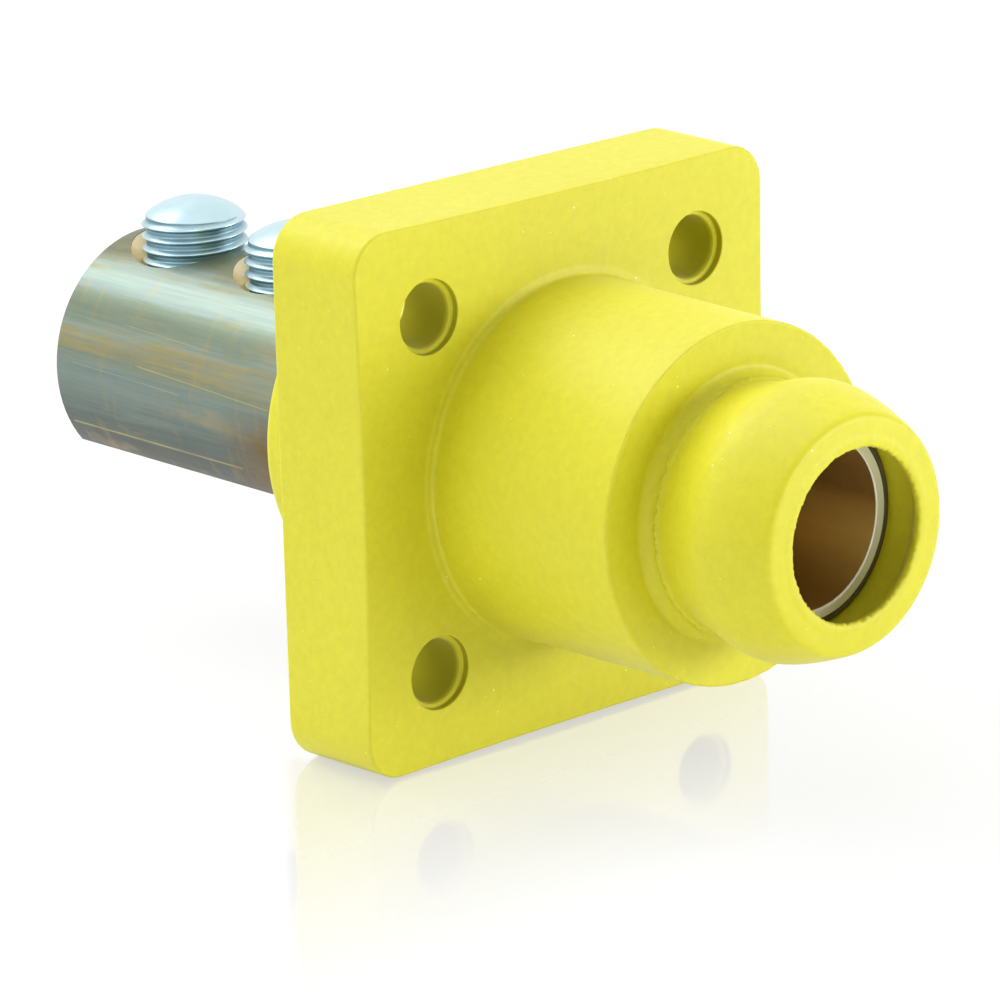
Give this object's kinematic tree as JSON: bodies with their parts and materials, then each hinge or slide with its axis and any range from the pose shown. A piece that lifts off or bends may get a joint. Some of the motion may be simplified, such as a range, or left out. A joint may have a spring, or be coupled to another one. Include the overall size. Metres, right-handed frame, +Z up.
{
  "type": "single-pole power receptacle",
  "caption": "Single-pole panel receptacle: a round socket in an insulating nose on a square flange, with a rear terminal bar whose set screws clamp a bare cable.",
  "frame": {"origin": "centre of the square flange's back, in the plane of the panel's face", "axes": "+Y along the socket's axis into the panel, towards the terminal; +Z up, the way the set screws point; +X to the right seen from the front"},
  "size_m": [0.0636, 0.12, 0.0636],
  "materials": {
    "housing": "moulded yellow elastomer, satin",
    "contact": "turned brass, tarnished grey-green with golden streaks",
    "cam_pin": "ground steel dowel",
    "set_screw": "bright zinc plate, bluish"
  },
  "bodies": {
    "receptacle": {"housing": "housing", "contact": "contact", "cam_pin": "cam_pin"},
    "rear_screw": {"set_screw_rear": "set_screw"},
    "front_screw": {"set_screw_front": "set_screw"}
  },
  "joints": [
    {"name": "rear_screw_travel", "type": "slide", "parent": "receptacle", "child": "rear_screw", "axis": [0, 0, 1], "range_m": [-0.00635, 0.00317]},
    {"name": "front_screw_travel", "type": "slide", "parent": "receptacle", "child": "front_screw", "axis": [0, 0, 1], "range_m": [-0.00635, 0.00317]}
  ]
}
